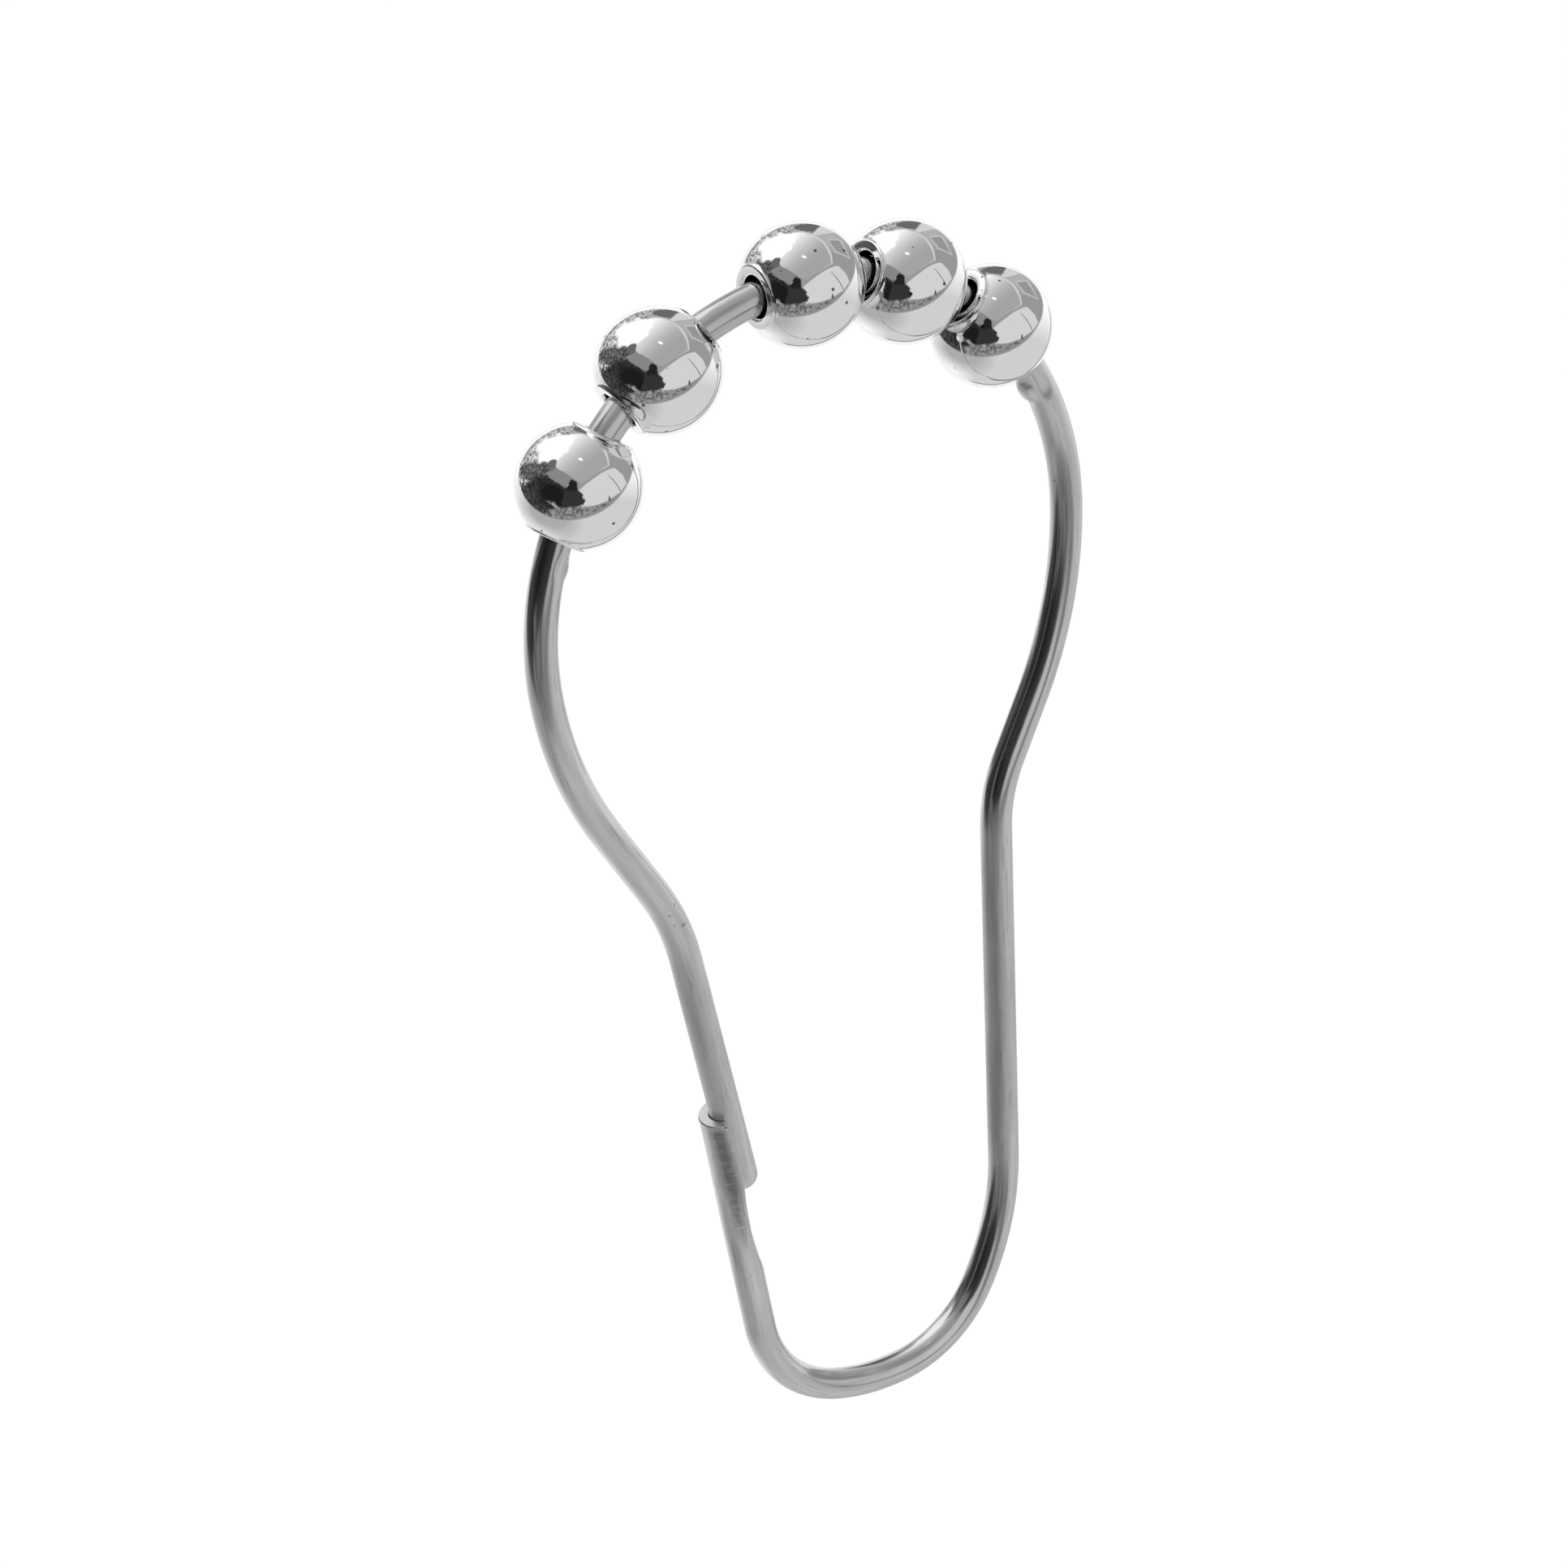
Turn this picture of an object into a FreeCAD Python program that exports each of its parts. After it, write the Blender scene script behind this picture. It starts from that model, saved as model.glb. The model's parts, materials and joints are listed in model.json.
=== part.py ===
import FreeCAD, Part
import math
import os

import Sketcher
from FreeCAD import Placement, Rotation, Vector

# A shower curtain hook: one spring wire bent to a pear-shaped loop, with five balls
# threaded on its top arc. The balls roll along the curtain rod inside the top arc, the
# curtain's eyelet hangs in the rounded foot of the loop, and the free leg springs into
# a gutter stamped in the wire's other end.
#
# The frame: the loop lies in the XZ plane and hangs as in use, +Z up. The origin is the
# centre of the top arc. The free leg and its clasp are on the -X side, the closed leg on
# the +X side, and the rod runs along Y.

doc = FreeCAD.newDocument("curtain_hook")
XZ, YZ = "XZ_Plane", "YZ_Plane"

# Driving dimensions in millimetres and degrees.
SIZES = {
    "wire_diameter": 2.0,
    "top_radius": 18.7,
    # free side: shoulder, slanting straight, neck and the leg that springs open
    "free_arc_past": 4.4,
    "free_shoulder_radius": 24.4,
    "free_straight_lean": 27.85,
    "free_straight_length": 5.53,
    "free_neck_radius": 16.6,
    "free_leg_lean": 7.6,
    "free_leg_length": 16.25,
    # closed side: shoulder, slanting straight, neck and the leg that runs to the foot
    "closed_arc_past": 3.2,
    "closed_shoulder_radius": 26.8,
    "closed_straight_lean": 30.42,
    "closed_straight_length": 3.95,
    "closed_neck_radius": 10.4,
    "closed_leg_lean": 3.6,
    # rounded foot: a slow bend, a corner up to the lowest point, and the rising corner
    "foot_drop": 56.76,
    "foot_entry_radius": 18.2,
    "foot_entry_turn": 33.0,
    "foot_corner_radius": 7.8,
    "foot_floor_turn": 111.0,
    "foot_rise_radius": 8.2,
    # clasp: a gutter stamped around the free leg's end
    "clasp_leg_lean": 5.5,
    "clasp_seat_offset": 1.02,
    "clasp_nest_depth": 4.9,
    "clasp_fade_length": 4.2,
    "clasp_mouth_radius": 1.72,
    "clasp_waist_radius": 1.5,
    "clasp_waist_shift": 0.44,
    "clasp_running_gap": 0.04,
    "clasp_twist": 20.0,
    "clasp_lip_at_mouth": 0.33,
    "clasp_lip_at_tip": 0.2,
    "clasp_dent_depth": 0.42,
    "clasp_dent_middle": 4.0,
    "clasp_dent_end": 8.5,
    "clasp_dent_rise": 0.05,
    "clasp_runout_radius": 24.0,
    "clasp_runout_length": 7.5,
    "clasp_margin": 1.5,
    # balls and how they are spread along the top arc
    "ball_diameter": 7.4,
    "ball_bore": 2.5,
    "ball_length": 6.56,
    "collar_diameter": 3.9,
    "collar_groove_width": 0.3,
    "collar_edge_bevel": 0.14,
    "bore_mouth_bevel": 0.14,
    "bore_top_gap": 0.05,
    "ball_3_angle": 3.8,
    "gap_1_2": 0.71,
    "gap_2_3": 2.9,
    "gap_3_4": 0.1,
    "gap_4_5": 0.22,
    # stops: the wire pinched from front and back beyond the outermost balls
    "free_stop_reach": 1.6,
    "free_stop_height": 0.2,
    "free_stop_half_length": 1.6,
    "closed_stop_reach": 2.1,
    "closed_stop_height": 0.35,
    "closed_stop_half_length": 1.3,
    "stop_half_height": 1.02,
    "stop_half_width": 0.85,
}

sheet = doc.addObject("Spreadsheet::Sheet", "Sizes")
for row, (alias, number) in enumerate(SIZES.items(), start=1):
    sheet.set(f"A{row}", alias)
    sheet.set(f"B{row}", str(number))
    sheet.setAlias(f"B{row}", alias)
doc.recompute()


def size(alias):
    return float(sheet.get(alias))


def sin(degrees):
    return math.sin(math.radians(degrees))


def cos(degrees):
    return math.cos(math.radians(degrees))


def bound(formula):
    """Expression in which every size name is read from the sheet."""
    for alias in sorted(SIZES, key=len, reverse=True):
        formula = formula.replace("{" + alias + "}", f"Sizes.{alias}")
    return formula


def value_of(feature, formula):
    number = feature.evalExpression(bound(formula))
    return getattr(number, "Value", number)


def origin_plane(body, role):
    return next(plane for plane in body.Origin.OriginFeatures if plane.Role == role)


def attach(feature, support, base=("0", "0", "0"), axis=Vector(0, 0, 1), angle="0"):
    """Fix a feature to a plane: base and turn are formulas of the sheet's sizes."""
    feature.AttachmentSupport = [(support, "")]
    feature.MapMode = "FlatFace"
    feature.AttachmentOffset = Placement(Vector(0, 0, 0), Rotation(axis, 1))
    for letter, formula in zip("xyz", base):
        feature.setExpression(f"AttachmentOffset.Base.{letter}", bound(formula))
    feature.setExpression("AttachmentOffset.Rotation.Angle", bound(angle))


class Run:
    """A chain of arcs and lines in one sketch, each tangent to the one before it."""

    def __init__(self, body, name, support, *place):
        self.sketch = body.newObject("Sketcher::SketchObject", name)
        attach(self.sketch, support, *place)
        self.last = None

    def hold(self, name, formula, kind, *where):
        """Named driving constraint whose value is a formula of the sheet's sizes."""
        value = value_of(self.sketch, formula)
        if kind == "Angle":
            value = math.radians(value)
            formula = f"({formula}) * 1 deg"
        else:
            formula = f"({formula}) * 1 mm"
        index = self.sketch.addConstraint(Sketcher.Constraint(kind, *where, value))
        self.sketch.renameConstraint(index, name)
        self.sketch.setExpression(f"Constraints.{name}", bound(formula))

    def _join(self, shape, first, last):
        geo = self.sketch.addGeometry(shape, False)
        if self.last is not None:
            previous, end = self.last
            self.sketch.addConstraint(Sketcher.Constraint("Tangent", previous, end, geo, first))
        self.last = (geo, last)
        return geo

    def line(self, start, end):
        return self._join(Part.LineSegment(Vector(*start), Vector(*end)), 1, 2)

    def arc(self, centre, start, end, clockwise):
        """Arc from start to end about centre; a sketch arc itself always runs anticlockwise."""
        radius = math.dist(centre, start)
        turn_start = math.atan2(start[1] - centre[1], start[0] - centre[0])
        turn_end = math.atan2(end[1] - centre[1], end[0] - centre[0])
        if clockwise:
            turn_start, turn_end = turn_end, turn_start
        while turn_end <= turn_start:
            turn_end += 2 * math.pi
        circle = Part.Circle(Vector(*centre), Vector(0, 0, 1), radius)
        first, last = (2, 1) if clockwise else (1, 2)
        return self._join(Part.ArcOfCircle(circle, turn_start, turn_end), first, last)


def neck_end(side):
    """Formulas of the point where one side's neck ends: out from the middle, and down.

    The shoulder arc leaves the top arc a little past the horizontal. A slanting straight
    leads from it to the neck arc, which bends back into the leg.
    """
    rim = f"({{top_radius}} - {{{side}_shoulder_radius}})"
    bends = f"({{{side}_shoulder_radius}} + {{{side}_neck_radius}})"
    past, lean = f"{{{side}_arc_past}}", f"{{{side}_straight_lean}}"
    length, neck = f"{{{side}_straight_length}}", f"{{{side}_neck_radius}}"
    leg = f"{{{side}_leg_lean}}"
    out = f"({rim} * cos({past}) + {bends} * cos({lean}) - {length} * sin({lean}) - {neck} * cos({leg}))"
    down = f"({rim} * sin({past}) + {bends} * sin({lean}) + {length} * cos({lean}) - {neck} * sin({leg}))"
    return out, down


def side_places(side, sign):
    """Places along one side of the loop, from the top arc to the neck; sign is -1 at -X."""
    past, lean, leg = (size(side + name) for name in ("_arc_past", "_straight_lean", "_leg_lean"))
    shoulder, neck = size(side + "_shoulder_radius"), size(side + "_neck_radius")
    top, length = size("top_radius"), size(side + "_straight_length")
    arc_end = (top * cos(past), -top * sin(past))
    shoulder_centre = tuple(v * (1 - shoulder / top) for v in arc_end)
    straight_start = (shoulder_centre[0] + shoulder * cos(lean),
                      shoulder_centre[1] - shoulder * sin(lean))
    straight_end = (straight_start[0] - length * sin(lean), straight_start[1] - length * cos(lean))
    neck_centre = (straight_end[0] + neck * cos(lean), straight_end[1] - neck * sin(lean))
    places = {
        "arc_end": arc_end,
        "shoulder_centre": shoulder_centre,
        "straight_start": straight_start,
        "straight_end": straight_end,
        "neck_centre": neck_centre,
        "leg_start": (neck_centre[0] - neck * cos(leg), neck_centre[1] + neck * sin(leg)),
    }
    return {name: (sign * x, z) for name, (x, z) in places.items()}


def draw_side(run, side, sign):
    """Top arc, shoulder, straight and neck of one side, held by the sheet's sizes."""
    at = side_places(side, sign)
    clockwise = sign > 0
    crown = (0.0, size("top_radius"))
    arc = run.arc((0.0, 0.0), crown, at["arc_end"], clockwise)
    crown_point, low_point = (2, 1) if clockwise else (1, 2)
    run.sketch.addConstraint(Sketcher.Constraint("Coincident", arc, 3, -1, 1))
    run.sketch.addConstraint(Sketcher.Constraint("PointOnObject", arc, crown_point, -2))
    run.hold("top_radius", "{top_radius}", "Radius", arc)
    drop = f"{{top_radius}} * sin({{{side}_arc_past}})"
    run.hold("arc_drop", drop, "DistanceY", arc, low_point, -1, 1)
    shoulder = run.arc(at["shoulder_centre"], at["arc_end"], at["straight_start"], clockwise)
    run.hold("shoulder_radius", f"{{{side}_shoulder_radius}}", "Radius", shoulder)
    straight = run.line(at["straight_start"], at["straight_end"])
    slant = f"-90 {'-' if sign > 0 else '+'} {{{side}_straight_lean}}"
    run.hold("straight_angle", slant, "Angle", straight)
    run.hold("straight_length", f"{{{side}_straight_length}}", "Distance", straight)
    neck = run.arc(at["neck_centre"], at["straight_end"], at["leg_start"], not clockwise)
    run.hold("neck_radius", f"{{{side}_neck_radius}}", "Radius", neck)
    return at["leg_start"]


# Free leg's end: the centre of its round tip, from which the clasp is laid out.
NECK_OUT, NECK_DOWN = neck_end("free")
TIP_X = f"(-{NECK_OUT} + {{free_leg_length}} * sin({{free_leg_lean}}))"
TIP_Z = f"(-{NECK_DOWN} - {{free_leg_length}} * cos({{free_leg_lean}}))"
FADE_X = (TIP_X + " - {clasp_seat_offset} * cos({free_leg_lean})"
          " + {clasp_fade_length} * sin({clasp_leg_lean})")
FADE_Z = (TIP_Z + " - {clasp_seat_offset} * sin({free_leg_lean})"
          " - {clasp_fade_length} * cos({clasp_leg_lean})")

neck_foot = side_places("free", -1)["leg_start"]
tip = (neck_foot[0] + size("free_leg_length") * sin(size("free_leg_lean")),
       neck_foot[1] - size("free_leg_length") * cos(size("free_leg_lean")))
fade_end = (
    tip[0] - size("clasp_seat_offset") * cos(size("free_leg_lean"))
    + size("clasp_fade_length") * sin(size("clasp_leg_lean")),
    tip[1] - size("clasp_seat_offset") * sin(size("free_leg_lean"))
    - size("clasp_fade_length") * cos(size("clasp_leg_lean")),
)


def on_circle(centre, radius, heading):
    """Point of a foot arc where the wire's heading, from straight down to -X, is given."""
    return (centre[0] + radius * cos(heading), centre[1] - radius * sin(heading))


def draw_foot(run, leg_start):
    """Closed leg, the foot's four arcs and the clasp leg up to where the gutter begins."""
    lean, rise = size("closed_leg_lean"), 180 - size("clasp_leg_lean")
    entry, corner, up = (size(name) for name in
                         ("foot_entry_radius", "foot_corner_radius", "foot_rise_radius"))
    entry_turn, floor_turn = size("foot_entry_turn"), size("foot_floor_turn")
    low = -size("foot_drop")
    # the lowest point's x, from the entry arc being tangent to the closed leg
    rest = ((corner - entry) * cos(entry_turn), low + corner - (corner - entry) * sin(entry_turn))
    out = (cos(lean), -sin(lean))
    low_x = (-entry - (rest[0] - leg_start[0]) * out[0]
             - (rest[1] - leg_start[1]) * out[1]) / out[0]
    # the floor arc's radius, from the rising corner being tangent to the clasp leg
    out = (cos(rise), -sin(rise))
    floor_out = cos(floor_turn) * out[0] - sin(floor_turn) * out[1]
    floor = (up * floor_out - up - (low_x - fade_end[0]) * out[0]
             - (low - fade_end[1]) * out[1]) / (out[1] + floor_out)

    corner_centre = (low_x, low + corner)
    floor_centre = (low_x, low + floor)
    entry_centre = on_circle(corner_centre, corner - entry, entry_turn)
    rise_centre = on_circle(floor_centre, floor - up, floor_turn)
    entry_start = on_circle(entry_centre, entry, lean)
    corner_start = on_circle(corner_centre, corner, entry_turn)
    lowest = (low_x, low)
    rise_start = on_circle(floor_centre, floor, floor_turn)
    rise_end = on_circle(rise_centre, up, rise)

    leg = run.line(leg_start, entry_start)
    run.hold("leg_angle", "-90 - {closed_leg_lean}", "Angle", leg)
    bend = run.arc(entry_centre, entry_start, corner_start, True)
    run.hold("entry_radius", "{foot_entry_radius}", "Radius", bend)
    turn = run.arc(corner_centre, corner_start, lowest, True)
    run.hold("corner_radius", "{foot_corner_radius}", "Radius", turn)
    run.sketch.addConstraint(Sketcher.Constraint("Vertical", turn, 3, turn, 1))
    reach = "{foot_corner_radius} * cos({foot_entry_turn})"
    run.hold("entry_reach", reach, "DistanceX", turn, 3, turn, 2)
    run.hold("foot_drop", "{foot_drop}", "DistanceY", turn, 1, -1, 1)
    base = run.arc(floor_centre, lowest, rise_start, True)
    spoke = run.sketch.addGeometry(Part.LineSegment(Vector(*floor_centre), Vector(*rise_start)), True)
    run.sketch.addConstraint(Sketcher.Constraint("Coincident", spoke, 1, base, 3))
    run.sketch.addConstraint(Sketcher.Constraint("Coincident", spoke, 2, base, 1))
    run.hold("floor_turn", "-{foot_floor_turn}", "Angle", spoke)
    lift = run.arc(rise_centre, rise_start, rise_end, True)
    run.hold("rise_radius", "{foot_rise_radius}", "Radius", lift)
    stem = run.line(rise_end, fade_end)
    run.hold("stem_angle", "90 + {clasp_leg_lean}", "Angle", stem)
    run.hold("stem_end_x", f"-({FADE_X})", "DistanceX", stem, 2, -1, 1)
    run.hold("stem_end_z", f"-({FADE_Z})", "DistanceY", stem, 2, -1, 1)


def hold_point(sketch, name, geo, point, place):
    """Hold one point of a sketch at a pair of formulas, measured from the origin."""
    for kind, formula in zip(("DistanceX", "DistanceY"), place):
        number = value_of(sketch, formula)
        index = sketch.addConstraint(Sketcher.Constraint(kind, -1, 1, geo, point, number))
        sketch.renameConstraint(index, f"{name}_{kind}")
        sketch.setExpression(f"Constraints.{name}_{kind}", bound(f"({formula}) * 1 mm"))


def circle_sketch(body, name, radius, centre, support, *place):
    """One circle whose radius and centre are formulas of the sheet's sizes."""
    sketch = body.newObject("Sketcher::SketchObject", name)
    attach(sketch, support, *place)
    middle = Vector(value_of(sketch, centre[0]), value_of(sketch, centre[1]), 0)
    number = value_of(sketch, radius)
    circle = sketch.addGeometry(Part.Circle(middle, Vector(0, 0, 1), number), False)
    index = sketch.addConstraint(Sketcher.Constraint("Radius", circle, number))
    sketch.renameConstraint(index, "radius")
    sketch.setExpression("Constraints.radius", bound(f"({radius}) * 1 mm"))
    hold_point(sketch, "centre", circle, 3, centre)
    return sketch


def outline_sketch(body, name, points, bends, support, *place):
    """Closed outline through corners given as pairs of formulas, in anticlockwise order.

    bends maps an edge's number to a point: that edge is an arc through it.
    """
    sketch = body.newObject("Sketcher::SketchObject", name)
    attach(sketch, support, *place)

    def vector(pair):
        return Vector(value_of(sketch, pair[0]), value_of(sketch, pair[1]), 0)

    corners = [vector(pair) for pair in points]
    edges = []
    for index, corner in enumerate(corners):
        following = corners[(index + 1) % len(corners)]
        if index not in bends:
            line = sketch.addGeometry(Part.LineSegment(corner, following), False)
            edges.append((line, 1, 2))
            continue
        middle = vector(bends[index])
        arc = sketch.addGeometry(Part.Arc(corner, middle, following), False)
        forward = sketch.Geometry[arc].StartPoint.distanceToPoint(corner) < 1e-6
        edges.append((arc, 1, 2) if forward else (arc, 2, 1))
    for index, (edge, first, last) in enumerate(edges):
        after = edges[(index + 1) % len(edges)]
        sketch.addConstraint(Sketcher.Constraint("Coincident", edge, last, after[0], after[1]))
        hold_point(sketch, f"corner_{index}", edge, first, points[index])
        if index in bends:
            mark = sketch.addGeometry(Part.Point(vector(bends[index])), True)
            hold_point(sketch, f"bend_{index}", mark, 1, bends[index])
            sketch.addConstraint(Sketcher.Constraint("PointOnObject", mark, 1, edge))
    return sketch


def check(feature):
    """Stop with a plain message where a step of the model failed."""
    doc.recompute()
    shape = getattr(feature, "Shape", None)
    if "Invalid" in feature.State or "Error" in feature.State:
        raise RuntimeError(f"{feature.Label} failed: {feature.State}")
    if shape is not None and (shape.isNull() or not shape.isValid()):
        raise RuntimeError(f"{feature.Label} has no valid shape")
    return feature


def pipe(body, kind, name, profile, spine):
    feature = body.newObject(f"PartDesign::{kind}Pipe", name)
    feature.Profile = profile
    feature.Spine = spine
    return check(feature)


def plane(body, name, support, *place):
    feature = body.newObject("PartDesign::Plane", name)
    attach(feature, support, *place)
    return check(feature)


# The wire's closed run: from the crown down the +X side, round the foot and up to the
# clasp, where the round wire ends and the gutter begins.
wire = doc.addObject("PartDesign::Body", "wire_hook")
wire.Label = "wire_hook"
front = origin_plane(wire, XZ)
section = circle_sketch(wire, "wire_section", "{wire_diameter} / 2", ("0", "{top_radius}"),
                        origin_plane(wire, YZ))
closed = Run(wire, "closed_run", front)
draw_foot(closed, draw_side(closed, "closed", 1))
pipe(wire, "Additive", "closed_wire", section, check(closed.sketch))

# The clasp: the wire's end spread into a gutter. Across the gutter the planes lie square
# to the free leg, and both frames have x to the right and y up along their leg.
ACROSS = (Vector(1, 0, 0), "-90")
nest = plane(wire, "nest_frame", front, (TIP_X, TIP_Z, "0"), Vector(0, 0, 1), "{free_leg_lean}")
fade = plane(wire, "fade_frame", front, (FADE_X, FADE_Z, "0"), Vector(0, 0, 1),
             "{clasp_leg_lean}")
fade_section = circle_sketch(wire, "fade_section", "{wire_diameter} / 2", ("0", "0"), fade,
                             ("0", "0", "0"), *ACROSS)
waist_section = circle_sketch(wire, "waist_section", "{clasp_waist_radius}",
                              ("-{clasp_waist_shift}", "0"), nest, ("0", "0", "0"), *ACROSS)
mouth_section = circle_sketch(wire, "mouth_section", "{clasp_mouth_radius}", ("0", "0"), nest,
                              ("0", "{clasp_nest_depth}", "0"), *ACROSS)
doc.recompute()
gutter = wire.newObject("PartDesign::AdditiveLoft", "gutter")
gutter.Profile = fade_section
gutter.Sections = [waist_section, mouth_section]
check(gutter)

# The groove that the free leg lies in runs out of the wire below the leg's tip.
OPEN_SIDE = (("0", "0", "0"), Vector(0, 1, 0), "-{clasp_twist}")
groove = Run(wire, "groove_run", nest, *OPEN_SIDE)
groove_top = size("clasp_nest_depth") + size("clasp_margin")
runout_radius = size("clasp_runout_radius")
runout_turn = math.degrees(size("clasp_runout_length") / runout_radius)
runout_end = (runout_radius * (1 - cos(runout_turn)), -runout_radius * sin(runout_turn))
nest_line = groove.line((0, groove_top), (0, 0))
groove.sketch.addConstraint(Sketcher.Constraint("Vertical", nest_line))
groove.sketch.addConstraint(Sketcher.Constraint("Coincident", nest_line, 2, -1, 1))
groove.hold("nest_top", "{clasp_nest_depth} + {clasp_margin}", "DistanceY", -1, 1, nest_line, 1)
runout = groove.arc((runout_radius, 0), (0, 0), runout_end, False)
groove.hold("runout_radius", "{clasp_runout_radius}", "Radius", runout)
groove.hold("runout_drop", "{clasp_runout_radius} * sin({clasp_runout_length}"
            " / {clasp_runout_radius} * 180 / pi)", "DistanceY", runout, 2, -1, 1)
groove_section = circle_sketch(wire, "groove_section",
                               "{wire_diameter} / 2 + {clasp_running_gap}", ("0", "0"), nest,
                               ("0", "{clasp_nest_depth} + {clasp_margin}", "0"), *ACROSS)
pipe(wire, "Subtractive", "groove", groove_section, check(groove.sketch))

# The gutter's open side: what lies beyond its two lips is cut away, and below the tip the
# same cut is the stamped dent.
far_side = "{clasp_mouth_radius} + {clasp_margin}"
lips = outline_sketch(wire, "lips", (
    ("-{clasp_lip_at_mouth}", "{clasp_nest_depth} + {clasp_margin}"),
    ("-{clasp_lip_at_tip}", "0"),
    ("{clasp_dent_rise}", "-{clasp_dent_end}"),
    (far_side, "-{clasp_dent_end}"),
    (far_side, "{clasp_nest_depth} + {clasp_margin}"),
), {1: ("-{clasp_dent_depth}", "-{clasp_dent_middle}")}, nest, *OPEN_SIDE)
opening = wire.newObject("PartDesign::Pocket", "opening")
opening.Profile = check(lips)
opening.SideType = "Symmetric"
opening.setExpression("Length", bound("2 * ({clasp_mouth_radius} + {clasp_margin}) * 1 mm"))
check(opening)

# The free run: from the crown down the -X side to the round tip that lies in the gutter.
free = Run(wire, "free_run", front)
leg = free.line(draw_side(free, "free", -1), tip)
free.hold("leg_angle", "-90 + {free_leg_lean}", "Angle", leg)
free.hold("leg_length", "{free_leg_length}", "Distance", leg)
pipe(wire, "Additive", "free_wire", section, check(free.sketch))
dome = wire.newObject("PartDesign::AdditiveSphere", "round_tip")
attach(dome, nest)
dome.setExpression("Radius", bound("{wire_diameter} / 2 * 1 mm"))
check(dome)

# The balls hang on the wire's top arc, with a little air above the wire in each bore.
HANG = "(({ball_bore} - {wire_diameter}) / 2 - {bore_top_gap})"
RING = f"({{top_radius}} - {HANG})"
INNER_RING = f"({RING} - {{collar_diameter}} / 2)"
HALF_LENGTH = "({ball_length} / 2)"


def pitch(gap):
    """Angle between two neighbours whose collars are this gap apart on their inner side."""
    face = f"atan({HALF_LENGTH} / {INNER_RING})"
    air = f"asin({{{gap}}} / 2 / hypot({INNER_RING}; {HALF_LENGTH}))"
    return f"2 * ({face} + {air})"


middle_ball = "{ball_3_angle} * 1 deg"
ball_angles = {"ball_3": middle_ball}
ball_angles["ball_2"] = f"{middle_ball} - {pitch('gap_2_3')}"
ball_angles["ball_1"] = f"{ball_angles['ball_2']} - {pitch('gap_1_2')}"
ball_angles["ball_4"] = f"{middle_ball} + {pitch('gap_3_4')}"
ball_angles["ball_5"] = f"{ball_angles['ball_4']} + {pitch('gap_4_5')}"


# Beyond each outermost ball the wire is pinched, which raises a stop on its inner side:
# an ellipsoid whose half sizes run along the wire, towards the centre and across.
for side, sign, ball in (("free", "-", "ball_1"), ("closed", "+", "ball_5")):
    angle = (f"({ball_angles[ball]} {sign} (atan({HALF_LENGTH} / {RING})"
             f" + {{{side}_stop_reach}} / {RING} * 180 deg / pi))")
    ridge = (f"({{top_radius}} - {{wire_diameter}} / 2 - {{{side}_stop_height}}"
             " + {stop_half_height})")
    stop = wire.newObject("PartDesign::AdditiveEllipsoid", f"{side}_stop")
    attach(stop, front, (f"{ridge} * sin({angle})", f"{ridge} * cos({angle})", "0"),
           Vector(0, 0, 1), f"-({angle})")
    half_sizes = (f"{{{side}_stop_half_length}}", "{stop_half_height}", "{stop_half_width}")
    for cell, formula in zip(("Radius2", "Radius3", "Radius1"), half_sizes):
        stop.setExpression(cell, bound(f"({formula}) * 1 mm"))
    check(stop)

# One ball: a sphere with a bore, its ends rolled to a small collar around each mouth.
BORE, COLLAR = "({ball_bore} / 2)", "({collar_diameter} / 2)"
SEAT = f"({COLLAR} + {{collar_groove_width}})"
FLOOR = f"sqrt(({{ball_diameter}} / 2)^2 - {SEAT}^2)"


def draw_ball(body):
    """Section of the ball on one side of its bore, with x along the bore."""
    right = (
        (f"{HALF_LENGTH} - {{bore_mouth_bevel}}", BORE),
        (HALF_LENGTH, f"{BORE} + {{bore_mouth_bevel}}"),
        (HALF_LENGTH, f"{COLLAR} - {{collar_edge_bevel}}"),
        (f"{HALF_LENGTH} - {{collar_edge_bevel}}", COLLAR),
        (FLOOR, COLLAR),
        (FLOOR, SEAT),
    )
    left = tuple((f"-({x})", y) for x, y in reversed(right))
    crown = {len(right) - 1: ("0", "{ball_diameter} / 2")}
    return outline_sketch(body, f"{body.Label}_section", right + left, crown,
                          origin_plane(body, XZ))


pieces = [wire]
for name in sorted(ball_angles):
    ball = doc.addObject("PartDesign::Body", name)
    ball.Label = name
    profile = check(draw_ball(ball))
    turning = ball.newObject("PartDesign::Revolution", f"{name}_turned")
    turning.Profile = profile
    turning.ReferenceAxis = (profile, ["H_Axis"])
    turning.Angle = 360
    angle = ball_angles[name]
    ball.Placement = Placement(Vector(0, 0, 0), Rotation(Vector(0, 1, 0), 1))
    ball.setExpression("Placement.Base.x", bound(f"{RING} * sin({angle}) * 1 mm"))
    ball.setExpression("Placement.Base.z", bound(f"{RING} * cos({angle}) * 1 mm"))
    ball.setExpression("Placement.Rotation.Angle", bound(angle))
    check(turning)
    pieces.append(ball)

doc.recompute()
for item in doc.Objects:
    if "Invalid" in item.State or "Error" in item.State:
        raise RuntimeError(f"{item.Label} failed: {item.State}")
for piece in pieces:
    if len(piece.Shape.Solids) != 1:
        raise RuntimeError(f"{piece.Label} is {len(piece.Shape.Solids)} solids, not one")
    check(piece)

os.makedirs("parts", exist_ok=True)
for piece in pieces:
    piece.Shape.exportStep(f"parts/{piece.Label}.step")
    box = piece.Shape.BoundBox
    print(f"{piece.Label}: {piece.Shape.Volume:.1f} mm3, x {box.XMin:.2f} to {box.XMax:.2f},"
          f" y {box.YMin:.2f} to {box.YMax:.2f}, z {box.ZMin:.2f} to {box.ZMax:.2f}")
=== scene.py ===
import json
import math

import bpy
import numpy as np
from mathutils import Matrix


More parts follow.
